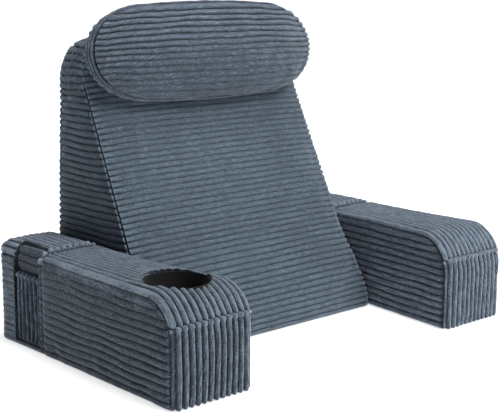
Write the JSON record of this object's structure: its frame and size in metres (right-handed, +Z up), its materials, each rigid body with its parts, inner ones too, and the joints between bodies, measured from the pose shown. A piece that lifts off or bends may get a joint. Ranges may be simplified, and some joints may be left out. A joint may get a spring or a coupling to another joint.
{
  "type": "reading pillow with arms",
  "caption": "Reading pillow: sloped backrest with headrest between boxed arms, an arm-top cup well and a side slot pocket, in wide-ribbed plush cloth.",
  "frame": {"origin": "centre of the footprint, on the surface the pillow rests on", "axes": "+Z up, -Y to the front (the way the reader faces), +X to the viewer's right when looking at the front"},
  "size_m": [0.723, 0.4724, 0.5352],
  "materials": {
    "wedge_cloth": "wide-ribbed plush, slate blue-grey, soft nap",
    "headrest_cloth": "wide-ribbed plush, slate blue-grey, soft nap",
    "arm_cloth": "wide-ribbed plush, slate blue-grey, soft nap",
    "block_cloth": "wide-ribbed plush, slate blue-grey, soft nap",
    "pocket_cloth": "wide-ribbed plush, slate blue-grey, ribs upright",
    "pocket_inner_cloth": "wide-ribbed plush in its own shade, darker",
    "well_lining_cloth": "black smooth lining cloth"
  },
  "bodies": {
    "root": {"backrest_wedge": "wedge_cloth", "headrest": "headrest_cloth", "left_arm": "arm_cloth", "right_arm": "arm_cloth", "left_block": "block_cloth", "right_block": "block_cloth", "pocket_panel": "pocket_cloth", "pocket_inner_panel": "pocket_inner_cloth", "cup_well_lining": "well_lining_cloth"}
  },
  "joints": []
}
